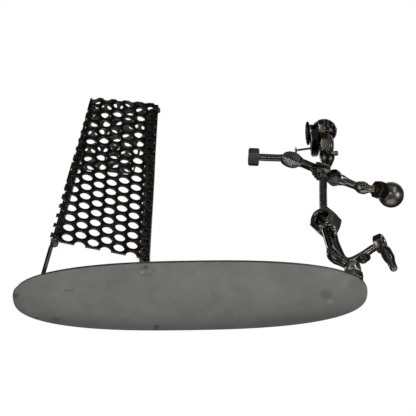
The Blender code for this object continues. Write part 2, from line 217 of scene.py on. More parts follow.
plate_steel = weathered_steel(
    "plate_steel", (0.275, 0.275, 0.26), (0.345, 0.34, 0.322), (0.30, 0.44), tint=(0.30, 0.27, 0.22),
    tinted=0.18, mottle=26.0, grain=(0.12, 1, 1), bump=0.000012, lacquer=0.15,
    stains_and_painted_light=[
        (-30, -28, 0, 8.6, (0.20, 0.19, 0.165), 0.6), (-30, -28, 0, 5.4, (0.33, 0.325, 0.31), 0.7),
        (-31, -31, 1, 3.2, soot, 0.6), (-34, -26.6, 0, 1.7, bare, 0.8), (-26, 31, 1, 4.0, soot, 0.55),
        (-129.4, -4.4, 0, 4.0, rust, 0.8), (-116, 19.4, 0, 2.0, soot, 0.45),
        (-91.6, -8.4, 0, 1.2, soot, 0.7), (-89.2, -8.9, 0, 1.1, soot, 0.7),
        (-86.9, -8.5, 0, 1.0, soot, 0.6), (100.6, -0.5, 1, 7.0, (0.15, 0.14, 0.12), 0.45),
        (104, 7, 0, 3.2, bare, 0.35), (122, -11, 1, 9.0, (0.19, 0.17, 0.14), 0.4),
        (-101, 21, 1, 5.0, rust, 0.35)])
plate.data.materials.append(plate_steel)
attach(plate, "root")
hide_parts("base_plate")

# --- Side net ------------------------------------------------------------------------------------------
# The goal's upright net: 1.5 mm perforated steel sheet, 8 mm round holes staggered at 11 mm pitch, snipped
# right through the holes so that its edges are scalloped. It is tacked to the two posts at its corners.
goal_foot, goal_yaw = (-32.8, -31.4), 16.5
sheet, hole, pitch, rod, gap = 1.5, 8.0, 11.0, 6.0, 0.3
net_q = -(rod / 2 + gap + sheet / 2)
net_back, net_front, net_top, roof_slope = -52.8, 4.6, 183.4, 0.19
net_corners = [(-70.6, 4.6), (3.2, 4.6), (net_front, net_top + (net_front - net_back) * roof_slope),
               (net_back, net_top)]
to_goal = Matrix.Translation(Vector((*goal_foot, 0)) * mm) @ Matrix.Rotation(math.radians(goal_yaw), 4, "Z")


def perforated(name, corners, centres):
    """A flat sheet of these corners, its holes punched and its rims a little rolled over, lying on Z 0."""
    pick()
    bpy.ops.mesh.primitive_plane_add(size=1)
    piece = bpy.context.object
    order = sorted(
        range(4), key=lambda i: math.atan2(piece.data.vertices[i].co.y, piece.data.vertices[i].co.x))
    for index, (x, y) in zip(order, corners):
        piece.data.vertices[index].co = (x * mm, y * mm, -sheet / 2 * mm)
    bpy.ops.object.mode_set(mode="EDIT")
    bpy.ops.mesh.select_all(action="SELECT")
    bpy.ops.mesh.extrude_region_move(TRANSFORM_OT_translate={"value": (0, 0, sheet * mm)})
    bpy.ops.mesh.select_all(action="SELECT")
    bpy.ops.mesh.normals_make_consistent(inside=False)
    bpy.ops.object.mode_set(mode="OBJECT")
    pick()
    bpy.ops.mesh.primitive_cylinder_add(vertices=28, radius=hole / 2 * mm, depth=(sheet + 2) * mm)
    punch = bpy.context.object
    punches = []
    for x, y in centres:
        one = punch.copy()
        one.data = punch.data.copy()
        one.location = (x * mm, y * mm, 0)
        bpy.context.collection.objects.link(one)
        punches.append(one)
    bpy.data.objects.remove(punch)
    pick(*punches)
    bpy.ops.object.join()
    punch = bpy.context.object
    bpy.ops.object.transform_apply(location=True, rotation=True, scale=True)
    cut = piece.modifiers.new("punched", "BOOLEAN")
    cut.operation, cut.solver, cut.object = "DIFFERENCE", "EXACT", punch
    apply_all(piece)
    bpy.data.objects.remove(punch)
    round_edges(piece, 0.22, 2, 60, False)
    for face in piece.data.polygons:
        face.material_index = 0 if abs(face.normal.z) > 0.7 else 1
    apply_all(piece)
    smooth(piece, 50)
    return settle(piece, name)


least_bite = 0.6


def inside(x, y, corners):
    """True where a hole at x, y lies in the sheet or takes at least that bite out of its edge."""
    depth = []
    for (ax, ay), (bx, by) in zip(corners, corners[1:] + corners[:1]):
        depth.append(((bx - ax) * (y - ay) - (by - ay) * (x - ax)) / math.hypot(bx - ax, by - ay))
    return min(depth) > least_bite - hole / 2


column, first_hole = pitch * math.sqrt(3) / 2, (-0.5, 21.6)
net_holes = [(first_hole[0] + i * column, first_hole[1] + j * pitch / 2)
             for i in range(-8, 2) for j in range(-4, 34) if (i + j) % 2 == 0]
side_net = perforated("side_net_sheet", net_corners, [p for p in net_holes if inside(*p, net_corners)])
side_net.data.transform(
    to_goal @ Matrix.Translation((0, net_q * mm, 0)) @ Matrix.Rotation(math.radians(90), 4, "X"))
net_face = weathered_steel(
    "net_steel", (0.025, 0.023, 0.022), (0.09, 0.083, 0.075), (0.20, 0.42), tint=(0.13, 0.08, 0.04),
    tinted=0.5, mottle=55.0, bump=0.00002, lacquer=0.25)
net_cut = weathered_steel(
    "net_cut_edge", (0.09, 0.085, 0.08), (0.30, 0.285, 0.265), (0.25, 0.45), tint=(0.17, 0.10, 0.05),
    tinted=0.4, mottle=90.0, bump=0.00002)
side_net.data.materials.append(net_face)
side_net.data.materials.append(net_cut)
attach(side_net, "root")
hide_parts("side_net")

# --- Roof net ------------------------------------------------------------------------------------------
# The goal's roof: a second cut of the same sheet laid away behind the side net's top edge, which climbs
# towards the mouth. Its straight rows of holes run along that edge, and it is tacked down at the corners.
roof_reach, roof_from, roof_to, skew = 78.0, -52.2, 1.1, math.radians(1.9)
row_start, row_inset = -1.0, 5.5
tilt = math.atan(roof_slope)
roof_length = (roof_to - roof_from) / math.cos(tilt)
roof_corners = [(0, -sheet / 2), (roof_length, -sheet / 2), (roof_length, roof_reach), (0, roof_reach)]
roof_holes = []
for j in range(-1, 9):
    for i in range(-8, 3):
        run, away = row_start + (i + (j % 2) / 2) * pitch, row_inset + j * column
        roof_holes.append((run * math.cos(skew) + away * math.sin(skew) - roof_from / math.cos(tilt),
                           away * math.cos(skew) - run * math.sin(skew)))
roof_net = perforated("roof_net_sheet", roof_corners, [p for p in roof_holes if inside(*p, roof_corners)])
roof_low = net_top + (roof_from - net_back) * roof_slope + (gap + sheet / 2) / math.cos(tilt)
roof_net.data.transform(to_goal @ Matrix.Translation(Vector((roof_from, net_q, roof_low)) * mm)
                        @ Matrix.Rotation(-tilt, 4, "Y"))
roof_net.data.materials.append(net_face)
roof_net.data.materials.append(net_cut)
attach(roof_net, "root")
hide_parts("roof_net")

# --- Goal posts and strut ------------------------------------------------------------------------------
# 9 mm rod for the mouth post, 6 mm for the leaning back post, and a thin wire strut that props the goal
# from its far foot. The rods are sawn to length, their ends knocked round, and browned by the welding heat.
back_low, back_high = (-66.2, 4.9), (-49.8, 180.5)


def bar(name, stations, step=1.2, sides=8):
    """A round rod through (x, y, z, diameter) stations in mm, eased between them, its ends closed."""
    path = [Vector(p) for p in stations]
    spans = [(b - a).to_3d().length for a, b in zip(path, path[1:])]
    slopes = [(b - a) / span for a, b, span in zip(path, path[1:], spans)]
    heads = [slopes[0]] + [(slopes[i] * spans[i + 1] + slopes[i + 1] * spans[i]) / (spans[i] + spans[i + 1])
                           for i in range(len(spans) - 1)] + [slopes[-1]]
    for head, a, b in zip(heads[1:], slopes, slopes[1:]):
        head.w = 0 if a.w * b.w <= 0 else min(a.w, b.w, key=abs)
    eased = []
    for a, b, span, leave, arrive in zip(path, path[1:], spans, heads, heads[1:]):
        pieces = max(1, round(span / step))
        for k in range(pieces):
            t = k / pieces
            eased.append(a * (2 * t ** 3 - 3 * t ** 2 + 1) + b * (3 * t ** 2 - 2 * t ** 3)
                         + leave * span * (t ** 3 - 2 * t ** 2 + t) + arrive * span * (t ** 3 - t ** 2))
    eased.append(path[-1])
    line = bpy.data.curves.new(name, "CURVE")
    line.dimensions = "3D"
    line.bevel_depth = mm / 2
    line.bevel_resolution = sides
    line.use_fill_caps = True
    spline = line.splines.new("POLY")
    spline.points.add(len(eased) - 1)
    for point, at in zip(spline.points, eased):
        point.co = (at[0] * mm, at[1] * mm, at[2] * mm, 1)
        point.radius = max(at[3], 0.3)
    piece = bpy.data.objects.new(name, line)
    bpy.context.collection.objects.link(piece)
    pick(piece)
    bpy.ops.object.convert(target="MESH")
    piece = bpy.context.object
    bpy.ops.object.mode_set(mode="EDIT")
    bpy.ops.mesh.select_all(action="SELECT")
    bpy.ops.mesh.remove_doubles(threshold=0.00001)
    bpy.ops.mesh.normals_make_consistent(inside=False)
    bpy.ops.object.mode_set(mode="OBJECT")
    smooth(piece, 40)
    return settle(piece, name)


def finish_as(piece, slot_name, material, *nodes):
    """Paints a piece of the figurine, lets it ride with the rest, and hides the solids that it stands for."""
    piece.data.materials.clear()
    piece.data.materials.append(material)
    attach(piece, "root")
    if nodes:
        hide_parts(*nodes)


post_top = net_top - net_back * roof_slope - sheet
mouth_post = bar("mouth_post_rod", [(0.5, 1.3, 2.3, 9.6), (0.5, 1.3, 3.4, 9.2), (0.5, 1.3, 5.0, 9.0),
                                    (0.85, 1.3, 95.0, 9.1), (1.15, 1.35, post_top - 2.6, 9.2),
                                    (1.2, 1.35, post_top - 1.4, 7.8), (1.2, 1.3, post_top - 0.5, 5.0),
                                    (1.2, 1.3, post_top - 0.1, 2.6)])
mouth_post.data.transform(to_goal)
rod_steel = weathered_steel(
    "rod_steel", (0.05, 0.045, 0.04), (0.20, 0.18, 0.155), (0.16, 0.36), tint=(0.24, 0.15, 0.06),
    tinted=0.5, mottle=80.0, bump=0.00004, lacquer=0.4)
finish_as(mouth_post, "rod_steel", rod_steel, "mouth_post")

low, high = Vector((back_low[0], 0, back_low[1])), Vector((back_high[0], 0, back_high[1]))
up = (high - low).normalized()
back_post = bar("back_post_rod", [(*low, 4.4), (*(low + up * 0.25), 5.4), (*(low + up * 0.7), rod),
                                  (*((low + high) / 2), rod), (*(high - up * 0.5), rod), (*high, rod - 0.8)])
back_post.data.transform(to_goal)
finish_as(back_post, "rod_steel", rod_steel, "back_post")

back_strut = bar(
    "back_strut_wire",
    [
        (-67.6, 3.4, 7.6, 2.2), (-67.62, 3.9, 7.55, 3.0), (-67.65, 5.0, 7.45, 3.2), (-68.1, 20.0, 5.8, 3.2),
        (-68.57, 35.4, 4.1, 3.2), (-68.6, 36.3, 4.0, 2.4)], sides=6)
back_strut.data.transform(to_goal)
finish_as(back_strut, "rod_steel", rod_steel, "back_strut")

# --- Weld beads of the goal ----------------------------------------------------------------------------
# Arc-welded tacks that hold the nets to the posts and the posts to the plate: lumpy black beads with bright
# slag specks, run on by hand, and a few beads of spatter frozen on the back post.


def flow_together(piece, grain, passes):
    """Fuses blobs that overlap into one skin, at this grain in mm, and lets it flow."""
    fuse = piece.modifiers.new("fused", "REMESH")
    fuse.mode, fuse.voxel_size = "VOXEL", grain * mm
    ease = piece.modifiers.new("flowed", "SMOOTH")
    ease.factor, ease.iterations = 0.5, passes


def dent(piece, width, depth, middle=0.5):
    """Roughens a piece with cloudy dents of this width and depth in mm."""
    clouds = bpy.data.textures.new("dents", "CLOUDS")
    clouds.noise_scale, clouds.noise_depth = width * mm, 2
    dents = piece.modifiers.new("dented", "DISPLACE")
    dents.texture, dents.strength, dents.mid_level = clouds, depth * mm, middle


def weld(name, blobs, seed, grain=0.45, lumps=0.35):
    """Weld metal run together from blobs (x, y, z, radius) in mm, with a rippled, knobbly skin."""
    random.seed(seed)
    made = []
    for x, y, z, radius in blobs:
        pick()
        bpy.ops.mesh.primitive_ico_sphere_add(
            subdivisions=3, radius=radius * mm, location=(x * mm, y * mm, z * mm))
        blob = bpy.context.object
        blob.scale = [random.uniform(0.85, 1.15) for _ in range(3)]
        made.append(blob)
    pick(*made)
    bpy.ops.object.join()
    bead = bpy.context.object
    bpy.ops.object.transform_apply(location=True, rotation=True, scale=True)
    flow_together(bead, grain, 3)
    dent(bead, 1.6, lumps)
    apply_all(bead)
    bpy.ops.object.shade_smooth()
    return settle(bead, name)


def goal_point(s, q, z):
    return tuple(Vector(to_goal @ Vector((s * mm, q * mm, z * mm))) / mm)


bead_steel = weathered_steel(
    "weld_bead", (0.06, 0.058, 0.052), (0.28, 0.27, 0.245), (0.14, 0.34), tint=(0.45, 0.44, 0.40),
    tinted=0.35, mottle=300.0, bump=0.00002, lacquer=0.3)
corner_tacks = [
    (1.0, -1.6, 7.5, 1.6), (3.0, -2.6, 6.2, 1.5), (0.2, -2.4, 9.2, 1.3), (-66.0, -2.2, 8.2, 1.7),
    (-68.0, -3.0, 6.6, 1.5), (-66.8, -1.8, 5.8, 1.3), (4.6, -2.4, 190.6, 2.2), (5.2, -2.8, 188.6, 1.9),
    (3.2, -2.2, 192.6, 2.0), (1.2, -2.2, 193.6, 1.7), (-50.2, -2.4, 180.6, 1.8), (-51.4, -3.0, 178.6, 1.4),
    (-49.6, -2.4, 183.0, 1.5)]
post_lean = 0.0934
for z, side in ((103.0, -3.0), (104.6, -3.0), (106.0, -2.2), (108.2, -2.2)):
    corner_tacks.append((back_low[0] + (z - back_low[1]) * post_lean + side, -1.4, z, 0.8))
corner_beads = [(*goal_point(s, q, z), radius) for s, q, z, radius in corner_tacks]
finish_as(weld("goal_corner_welds", corner_beads, 3), "net_steel", bead_steel)
foot_beads, bead_count, ring_radius = [], 9, 4.1
for k in range(bead_count):
    turn = 2 * math.pi * k / bead_count
    around = (1.0 + ring_radius * math.cos(turn), 1.0 + ring_radius * math.sin(turn))
    foot_beads.append((*goal_point(*around, 2.9), 1.1))
finish_as(weld("mouth_post_weld", foot_beads, 4), "rod_steel", bead_steel)

# --- Thrower's body: shoulder nuts, spine and hip nut ---------------------------------------------------
# Plain hexagon nuts, chamfered both sides: two small ones stand side by side for the shoulders, one large one
# lies open to the front for the hips, and a short rod between them is the spine. All is held by weld beads.


def hex_nut(name, flats, high, centre, axis, flat, bore=0.0, through=True):
    """A chamfered hexagon nut, its bore cut with a thread, right through or only from its top side."""
    corner, half = flats / math.sqrt(3), high / 2
    blank_radius, face_radius = corner * 1.02, flats * 0.475
    drop = (blank_radius - face_radius) * math.tan(math.radians(30))
    pick()
    bpy.ops.mesh.primitive_cylinder_add(vertices=6, radius=corner * mm, depth=high * mm)
    piece = bpy.context.object
    pick()
    bpy.ops.mesh.primitive_cylinder_add(vertices=84, radius=blank_radius * mm, depth=(high - 2 * drop) * mm)
    blank = bpy.context.object
    for side in (-1, 1):
        pick(blank)
        for face in blank.data.polygons:
            face.select = face.normal.z * side > 0.9
        for edge in blank.data.edges:
            edge.select = all(blank.data.vertices[i].co.z * side > 0 for i in edge.vertices)
        for vertex in blank.data.vertices:
            vertex.select = vertex.co.z * side > 0
        bpy.ops.object.mode_set(mode="EDIT")
        bpy.ops.mesh.extrude_region_move(TRANSFORM_OT_translate={"value": (0, 0, side * drop * mm)})
        shrink = face_radius / blank_radius
        bpy.ops.transform.resize(value=(shrink, shrink, 1))
        bpy.ops.object.mode_set(mode="OBJECT")
    turned = piece.modifiers.new("chamfered", "BOOLEAN")
    turned.operation, turned.solver, turned.object = "INTERSECT", "EXACT", blank
    apply_all(piece)
    bpy.data.objects.remove(blank)
    if bore:
        thread_depth, thread_pitch, groove, lead_in = 0.42, 1.25, 1.1, 1.0
        root, crest, lead = bore / 2 + thread_depth, bore / 2, bore / 2 + lead_in
        start = -half - 0.5 if through else half * 0.1
        profile = [(0, start), (lead if through else crest, start)]
        z = -half + (lead - crest) if through else start + 0.3
        while z < half - (lead - crest) - lead_in:
            profile += [(crest, z), (root, z + groove / 2), (crest, z + groove)]
            z += thread_pitch
        profile += [(crest, half - (lead - crest)), (lead, half + 0.01), (lead, half + 0.5), (0, half + 0.5)]
        line = bpy.data.meshes.new("tap")
        line.from_pydata(
            [(r * mm, 0, h * mm) for r, h in profile], [(i, i + 1) for i in range(len(profile) - 1)], [])
        tap = bpy.data.objects.new("tap", line)
        bpy.context.collection.objects.link(tap)
        spin = tap.modifiers.new("spun", "SCREW")
        spin.steps = spin.render_steps = 40
        spin.use_merge_vertices, spin.merge_threshold = True, 0.00001
        apply_all(tap)
        bpy.ops.object.mode_set(mode="EDIT")
        bpy.ops.mesh.select_all(action="SELECT")
        bpy.ops.mesh.normals_make_consistent(inside=False)
        bpy.ops.object.mode_set(mode="OBJECT")
        threaded = piece.modifiers.new("tapped", "BOOLEAN")
        threaded.operation, threaded.solver, threaded.object = "DIFFERENCE", "EXACT", tap
        apply_all(piece)
        bpy.data.objects.remove(tap)
    round_edges(piece, 0.28, 3, 24, False)
    apply_all(piece)
    smooth(piece, 30)
    return settle(piece, name, axis, centre, flat)


low_front = (0, -0.65, -0.76)
black_steel = dict(
    dark=(0.11, 0.108, 0.10), light=(0.30, 0.29, 0.27), rough=(0.12, 0.26), tint=(0.29, 0.235, 0.17),
    tinted=0.4, mottle=90.0, bump=0.000008, lacquer=0.3)
# Near-black steel for the weld at the root of the left arm: its colour is painted shade in the hollow between
# the arm's end and the shoulder nut.
shade_black_weld_steel = weathered_steel(
    "shade_black_weld_steel", (0.03, 0.03, 0.03), (0.13, 0.125, 0.12), (0.14, 0.30), tinted=0.3, mottle=160.0,
    bump=0.00001, lacquer=0.1)
left_shoulder = hex_nut("left_shoulder", 13.0, 8.0, (107.2, -10.5, 130.2), (0, 0, 1), (0.30, -0.954, 0))
# The dark spot on the left shoulder nut's front flat is painted shade.
left_shoulder_steel = weathered_steel(
    "left_shoulder_steel", (0.24, 0.235, 0.22), (0.50, 0.48, 0.45), (0.16, 0.32), tinted=0.25, mottle=200.0,
    bump=0.00001, lacquer=0.3, stains_and_painted_light=[(107.6, -17.0, 129.8, 4.0, (0.06, 0.06, 0.06), 0.9)])
finish_as(left_shoulder, "gunmetal", left_shoulder_steel, "left_shoulder_nut")
right_shoulder = hex_nut("right_shoulder", 10.6, 9.0, (116.0, -8.4, 126.0), (0, 0, 1), (-0.26, -0.966, 0))
# The two near-black spots on the right shoulder nut's front flats are painted shade.
right_shoulder_steel = weathered_steel(
    "right_shoulder_steel", (0.04, 0.04, 0.042), (0.16, 0.157, 0.15), (0.12, 0.26), tinted=0.2,
    mottle=110.0, bump=0.000008, lacquer=0.15,
    stains_and_painted_light=[
        (113.5, -13.6, 128.6, 5.2, (0.008, 0.009, 0.014), 1.0),
        (119.6, -12.4, 128.6, 5.2, (0.012, 0.013, 0.018), 1.0)])
finish_as(right_shoulder, "gunmetal", right_shoulder_steel, "right_shoulder_nut")
hip = hex_nut("hip", 19.6, 14.0, (104.9, -10.5, 69.2), (-0.51, -0.84, -0.19), (0, 0, 1), 10.6)
# The near-black spot on the hip nut's open end face is painted shade.
hip_steel = weathered_steel(
    "hip_steel", (0.09, 0.09, 0.082), (0.27, 0.26, 0.245), (0.10, 0.22), tint=(0.30, 0.24, 0.19),
    tinted=0.4, mottle=80.0, bump=0.000008, lacquer=0.2,
    stains_and_painted_light=[(99.6, -18.0, 68.6, 10.5, (0.02, 0.02, 0.018), 0.95)])
finish_as(hip, "gunmetal", hip_steel, "hip_nut")
spine = bar("spine_rod", [(104.1, -10.5, 80.2, 6.3), (104.3, -10.5, 85.0, 6.4), (106.7, -10.5, 125.6, 6.4)])
spine_steel = weathered_steel(
    "spine_steel", (0.30, 0.28, 0.235), (0.58, 0.54, 0.47), (0.14, 0.30), tint=(0.30, 0.22, 0.14),
    tinted=0.3, mottle=110.0, grain=(1, 1, 0.2), bump=0.000008, lacquer=0.3)
finish_as(spine, "gunmetal", spine_steel, "spine")
shoulder_welds = [
    (102.4 + 1.5 * k, -16.4 + 0.9 * k, 134.6 + (1.2 if 0 < k < 3 else 0), 1.5) for k in range(4)]
shoulder_welds += [
    (98.2, -14.6, 127.6, 1.1), (111.4, -9.4, 124.4, 1.7), (110.8, -9.2, 121.4, 1.6),
    (111.8, -7.2, 131.6, 1.9), (119.4, -6.4, 130.6, 2.0), (120.2, -6.0, 133.2, 2.0)]
hip_welds = [(101.8 + 1.4 * k, -10.9, 79.6 + 0.3 * k, 1.5) for k in range(4)]
hip_welds += [
    (100.6, -15.6, 62.4, 1.5), (101.6, -15.8, 61.0, 1.6), (103.4, -15.6, 60.2, 1.7),
    (105.6, -14.6, 60.4, 1.6), (106.2, -14.8, 62.2, 1.2)]
# Small weld beads along the hip nut's rim and edge and on the tops of the legs: real beads whose very light
# colour is a painted highlight.
hip_highlight_beads = [
    (96.8, -15.2, 72.6, 0.9), (97.6, -15.7, 73.7, 0.9), (98.6, -16.3, 74.3, 0.8), (105.6, -18.0, 65.9, 0.9),
    (105.3, -17.5, 63.8, 0.9), (104.9, -16.9, 61.6, 1.0), (101.1, -14.6, 59.8, 1.5),
    (110.3, -12.8, 61.2, 1.8), (110.8, -12.4, 57.8, 1.9), (111.0, -12.0, 53.8, 1.6)]
finish_as(weld("shoulder_welds", shoulder_welds, 11, 0.4, 0.25), "gunmetal", bead_steel)
# The weld at the left arm's root is near-black: painted shade between the arm's end and the shoulder nut.
shoulder_root = [
    (101.4, -12.6, 134.6, 2.5), (99.6, -12.8, 132.4, 2.6), (99.4, -12.6, 129.8, 2.5),
    (99.8, -12.2, 127.2, 2.3), (101.2, -11.8, 124.8, 2.2), (102.8, -11.4, 122.8, 2.1)]
finish_as(weld("shoulder_root_weld", shoulder_root, 13, 0.5, 0.2), "gunmetal", shade_black_weld_steel)
finish_as(weld("hip_welds", hip_welds, 12, 0.4, 0.25), "gunmetal", bead_steel)
# Very light steel for the hip beads: painted highlights.
highlight_bead_steel = weathered_steel(
    "highlight_bead_steel", (0.55, 0.54, 0.51), (0.85, 0.84, 0.80), (0.22, 0.34), tinted=0.1, mottle=200.0,
    bump=0.000005, lacquer=0.3)
finish_as(weld("hip_highlight_beads", hip_highlight_beads, 14, 0.25, 0.1), "gunmetal", highlight_bead_steel)

# --- Thrower's head -------------------------------------------------------------------------------------
# Three nuts welded together for skull, face and brow under a rough welded dome, with a dished disc for a
# visor, a nail in the mouth, a stub for an ear, and a neck built up from two fat beads of weld.
head_centre = (110.6, -10.5, 166.0)
head_nut = hex_nut("head", 19.0, 8.1, head_centre, (1, 0, 0), low_front, 10.0)
# The near-black spot on the head nut's upper front flat is painted shade under the brow nut.
head_steel = weathered_steel(
    "head_steel", **black_steel, tint_spots=[(110, -20, 160, 9, 0.9)],
    stains_and_painted_light=[(110.6, -20.0, 169.6, 4.6, (0.02, 0.02, 0.02), 1.0)])
finish_as(head_nut, "gunmetal", head_steel, "head_nut")
face_nut = hex_nut("face", 21.0, 6.2, (102.6, -10.5, 169.6), (1, 0, 0), (0, -0.35, -0.94), 12.0)
# The near-black spot on the face nut's lower flat is painted shade.
face_steel = weathered_steel(
    "face_steel", (0.02, 0.02, 0.018), (0.11, 0.105, 0.095), (0.14, 0.30), tinted=0.3, mottle=110.0,
    bump=0.000008, lacquer=0.1, stains_and_painted_light=[(101.8, -14.5, 160.0, 9.5, (0.02, 0.02, 0.02), 0.95)])
finish_as(face_nut, "gunmetal", face_steel, "face_nut")
brow_nut = hex_nut("brow", 13.0, 5.9, (108.85, -16.4, 181.3), (1, 0, 0), low_front, 6.8)
# The near-black spot on the brow nut's upper front flat is painted shade.
brow_steel = weathered_steel(
    "brow_steel", **black_steel, tint_spots=[(108, -22, 176, 7, 0.9)],
    stains_and_painted_light=[(108.85, -22.4, 184.0, 4.2, (0.02, 0.02, 0.02), 1.0)])
finish_as(brow_nut, "gunmetal", brow_steel, "brow_nut")

disc_radius, disc_rise = 9.0, 3.7
pick()
bpy.ops.mesh.primitive_uv_sphere_add(segments=40, ring_count=20, radius=disc_radius * mm)
head_back = bpy.context.object
bpy.ops.object.mode_set(mode="EDIT")
bpy.ops.mesh.select_all(action="SELECT")
bpy.ops.mesh.bisect(plane_co=(0, 0, 0), plane_no=(0, 0, 1), use_fill=True, clear_inner=True)
bpy.ops.mesh.select_all(action="SELECT")
bpy.ops.transform.resize(value=(1, 1, disc_rise / disc_radius), center_override=(0, 0, 0))
bpy.ops.object.mode_set(mode="OBJECT")
round_edges(head_back, 0.3, 2, 50)
apply_all(head_back)
smooth(head_back, 50)
settle(head_back, "head_back_disc", (1, 0, 0), (head_centre[0] + 4.35, head_centre[1], head_centre[2]))
head_back_steel = weathered_steel(
    "head_back_steel", (0.12, 0.12, 0.12), (0.30, 0.30, 0.29), (0.2, 0.36), tinted=0.2, mottle=120.0,
    lacquer=0.3)
finish_as(head_back, "gunmetal", head_back_steel, "head_back")

cap_middle, cap_radius, cap_squash = (111.6, -10.5, 185.4), 10.9, 0.89
pick()
bpy.ops.mesh.primitive_ico_sphere_add(subdivisions=6, radius=cap_radius * mm)
cap = bpy.context.object
cap.data.transform(Matrix.Translation(Vector(cap_middle) * mm) @ Matrix.Diagonal((1, 1, cap_squash, 1)))
dent(cap, 2.8, 0.9, 0.6)
apply_all(cap)
bpy.ops.object.shade_smooth()
settle(cap, "cap_dome_crust")
# The near-black spot on the lower front of the dome is painted shade under its rim.
cap_steel = weathered_steel(
    "cap_steel", (0.02, 0.02, 0.019), (0.085, 0.083, 0.078), (0.12, 0.28), tinted=0.3, mottle=260.0,
    bump=0.000015, lacquer=0.1, stains_and_painted_light=[(110.5, -16.5, 176.6, 6.5, (0.012, 0.012, 0.014), 1.0)])
finish_as(cap, "gunmetal", cap_steel, "cap_dome")

pick()
bpy.ops.mesh.primitive_cylinder_add(vertices=72, radius=10.0 * mm, depth=1.0 * mm)
visor = bpy.context.object
bpy.context.tool_settings.mesh_select_mode = (False, False, True)
bpy.ops.object.mode_set(mode="EDIT")
bpy.ops.mesh.select_all(action="DESELECT")
bpy.ops.object.mode_set(mode="OBJECT")
for face in visor.data.polygons:
    face.select = abs(face.normal.z) > 0.9
bpy.ops.object.mode_set(mode="EDIT")
for shrink, sink in ((0.86, -0.15), (0.78, -0.15), (0.6, -0.1)):
    bpy.ops.mesh.inset(thickness=0.05 * mm)
    bpy.ops.transform.resize(value=(shrink, shrink, 1))
    bpy.ops.transform.translate(value=(0, 0, sink * mm))
bpy.ops.object.mode_set(mode="OBJECT")
bpy.context.tool_settings.mesh_select_mode = (True, False, False)
round_edges(visor, 0.35, 3, 40)
apply_all(visor)
smooth(visor, 40)
settle(visor, "visor_washer", (0.993, 0.05, 0.10), (97.8, -10.5, 182.8))
bright_steel = dict(
    dark=(0.16, 0.16, 0.155), light=(0.40, 0.39, 0.37), rough=(0.16, 0.34), tinted=0.25, mottle=150.0,
    lacquer=0.3)
# The two light spots on the visor's face are a painted reflection.
visor_steel = weathered_steel(
    "visor_steel", (0.015, 0.015, 0.015), (0.06, 0.059, 0.055), (0.14, 0.30), tinted=0.2, mottle=150.0,
    bump=0.000008,
    stains_and_painted_light=[
        (97.0, -14.0, 183.4, 3.2, (0.45, 0.45, 0.43), 1.0),
        (96.9, -12.6, 179.6, 2.6, (0.40, 0.40, 0.38), 1.0)])
finish_as(visor, "gunmetal", visor_steel, "visor_disc")
# Sooted, so that it stays dark even when it is seen nearly edge-on.
visor_steel.node_tree.nodes["Principled BSDF"].inputs["Specular Tint"].default_value = (0.12, 0.12, 0.12, 1)

pick()
bpy.ops.mesh.primitive_cube_add(size=1)
strip = bpy.context.object
strip.data.transform(Matrix.Translation((101.0 * mm, -11.4 * mm, 190.0 * mm))
                     @ Matrix.Diagonal((6.4 * mm, 5.0 * mm, 1.9 * mm, 1)))
round_edges(strip, 0.5, 3, 30)
apply_all(strip)
smooth(strip, 40)
settle(strip, "visor_strip_bar")
strip_steel = weathered_steel(
    "strip_steel", (0.40, 0.38, 0.36), (0.66, 0.63, 0.60), (0.16, 0.30), tinted=0.2, mottle=150.0,
    bump=0.000008)
finish_as(strip, "gunmetal", strip_steel, "visor_strip")

nail = bar(
    "mouth_nail_pin",
    [
        (86.0, -11.5, 158.75, 4.6), (86.25, -11.5, 158.8, 5.5), (86.9, -11.5, 158.85, 5.5),
        (87.15, -11.5, 158.9, 2.2), (87.6, -11.5, 159.0, 1.8), (98.6, -11.5, 161.0, 1.8)], 0.6)
nail_steel = weathered_steel("nail_steel", **black_steel, tint_spots=[(96, -11.5, 160.5, 7, 0.9)])
finish_as(nail, "gunmetal", nail_steel, "mouth_nail")
ear = bar("ear_stub_rod", [(116.0, -10.5, 154.3, 4.2), (120.3, -10.5, 155.3, 4.2), (120.9, -10.5, 155.4, 3.6),
                           (121.1, -10.5, 155.45, 2.4)], 0.5)
ear_steel = weathered_steel("ear_steel", **bright_steel)
finish_as(ear, "gunmetal", ear_steel, "ear_stub")
neck = bar(
    "neck_bead",
    [
        (108.9, -11.8, 133.8, 5.4), (109.2, -12.2, 140.0, 6.6), (109.2, -12.5, 145.6, 7.6),
        (109.3, -12.3, 150.4, 8.2), (109.8, -11.4, 154.2, 7.0), (110.4, -10.2, 156.8, 4.4)], 0.6)
second_run = bar(
    "second_run",
    [
        (111.6, -10.8, 135.6, 3.6), (113.2, -11.0, 142.6, 5.6), (114.4, -11.0, 149.4, 7.2),
        (114.0, -10.6, 153.4, 6.2), (113.2, -9.8, 156.6, 3.6)], 0.6)
pick(neck, second_run)
bpy.ops.object.join()
flow_together(neck, 0.35, 8)
apply_all(neck)
bpy.ops.object.shade_smooth()
# The two light spots on the front of the neck are painted highlights.
neck_steel = weathered_steel(
    "neck_steel", (0.05, 0.05, 0.048), (0.15, 0.145, 0.14), (0.10, 0.20), tinted=0.25, mottle=120.0,
    bump=0.000008, lacquer=0.2,
    stains_and_painted_light=[
        (108.8, -16.2, 143.2, 3.0, (0.80, 0.79, 0.77), 1.0),
        (114.6, -14.0, 144.0, 3.2, (0.80, 0.79, 0.77), 1.0)])
finish_as(neck, "gunmetal", neck_steel, "neck")
head_welds = weld(
    "head_welds",
    [
        (107.6, -15.6, 175.6, 1.3), (107.0, -9.6, 179.6, 2.2), (104.0, -10.2, 181.6, 1.8),
        (107.6, -17.6, 170.4, 1.2), (107.8, -6.0, 174.0, 2.2), (113.0, -4.4, 176.4, 2.0),
        (98.8, -11.0, 178.4, 1.2), (99.2, -11.6, 161.4, 1.2)], 23, 0.4, 0.25)
finish_as(head_welds, "gunmetal", bead_steel)
